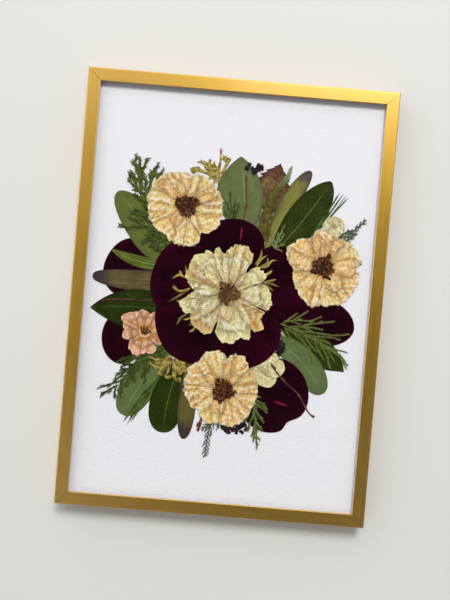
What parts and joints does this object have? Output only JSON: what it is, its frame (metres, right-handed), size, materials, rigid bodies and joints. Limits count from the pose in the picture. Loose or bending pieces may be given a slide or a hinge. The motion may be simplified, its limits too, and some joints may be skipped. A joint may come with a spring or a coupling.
{
  "type": "pressed flower frame",
  "caption": "Shallow gold metal picture frame holding dried roses, dark petals, leaves and sprigs pressed flat on white card behind glass.",
  "frame": {"origin": "bottom centre of the bounding box: the middle of the rear rims, on which the frame lies face up", "axes": "+X across the picture to the viewer's right, +Y up the picture, +Z out of the glass towards the viewer"},
  "size_m": [0.216, 0.303, 0.02],
  "materials": {
    "gold_anodised": "brushed, pale gold anodised, satin",
    "clear_glass": "clear float glass",
    "white_card": "thick white card with a cold-pressed grain",
    "hardboard": "pressed brown hardboard, smooth",
    "zinc_steel": "zinc plated sheet steel",
    "burgundy_petal": "dry velvety rose petal, near black burgundy",
    "cream_petal": "dry crumpled petal, cream to ochre",
    "pink_petal": "dry crumpled petal, peach pink",
    "green_leaf": "dry pressed leaf, green",
    "dark_leaf": "dry pressed leaf, dark green with a soft gloss",
    "olive_leaf": "dry pressed leaf, olive brown with purple edges",
    "sprig_green": "dry scale-leaved sprig",
    "golden_spray": "dry golden spray",
    "twig_bark": "dry red-brown twig"
  },
  "bodies": {
    "root": {"rail_bottom": "gold_anodised", "rail_right": "gold_anodised", "rail_top": "gold_anodised", "rail_left": "gold_anodised", "glazing": "clear_glass", "backing_card": "white_card", "backing_board": "hardboard", "corner_key_bottom_left": "zinc_steel", "corner_key_bottom_right": "zinc_steel", "corner_key_top_left": "zinc_steel", "corner_key_top_right": "zinc_steel", "tab_left_upper": "zinc_steel", "tab_left_lower": "zinc_steel", "tab_right_upper": "zinc_steel", "tab_right_lower": "zinc_steel", "sawtooth_hanger": "zinc_steel", "petal_top": "burgundy_petal", "petal_upper_left": "burgundy_petal", "petal_far_left": "burgundy_petal", "petal_right": "burgundy_petal", "petal_far_right": "burgundy_petal", "petal_lower_left": "burgundy_petal", "petal_lower_right": "burgundy_petal", "petal_bottom_right": "burgundy_petal", "petal_low_left": "burgundy_petal", "pale_petal_low": "cream_petal", "pale_petal_high": "cream_petal", "centre_flower": "cream_petal", "small_cream_bloom": "cream_petal", "rose_upper_left": "cream_petal", "rose_right": "cream_petal", "rose_bottom": "cream_petal", "small_pink_flower": "pink_petal", "leaf_left_round": "green_leaf", "leaf_top_broad": "green_leaf", "leaf_low_pale": "green_leaf", "leaf_right_pale": "green_leaf", "leaf_right_laurel": "dark_leaf", "leaf_left_slender": "dark_leaf", "leaf_left_dark": "dark_leaf", "leaf_low_dark": "dark_leaf", "leaf_right_dark": "dark_leaf", "leaf_top_serrated": "olive_leaf", "leaf_top_long": "olive_leaf", "leaf_left_long": "olive_leaf", "leaf_low_olive": "olive_leaf", "juniper_sprig": "sprig_green", "cedar_over_leaf": "sprig_green", "cedar_lower_left": "sprig_green", "cedar_right": "sprig_green", "cedar_bottom": "sprig_green", "fern_bottom": "sprig_green", "fern_right": "sprig_green", "moss_sprig": "sprig_green", "needles_right": "sprig_green", "needles_left": "sprig_green", "golden_spray_top": "golden_spray", "golden_spray_low": "golden_spray", "twig_left": "twig_bark", "twig_right": "twig_bark"}
  },
  "joints": []
}
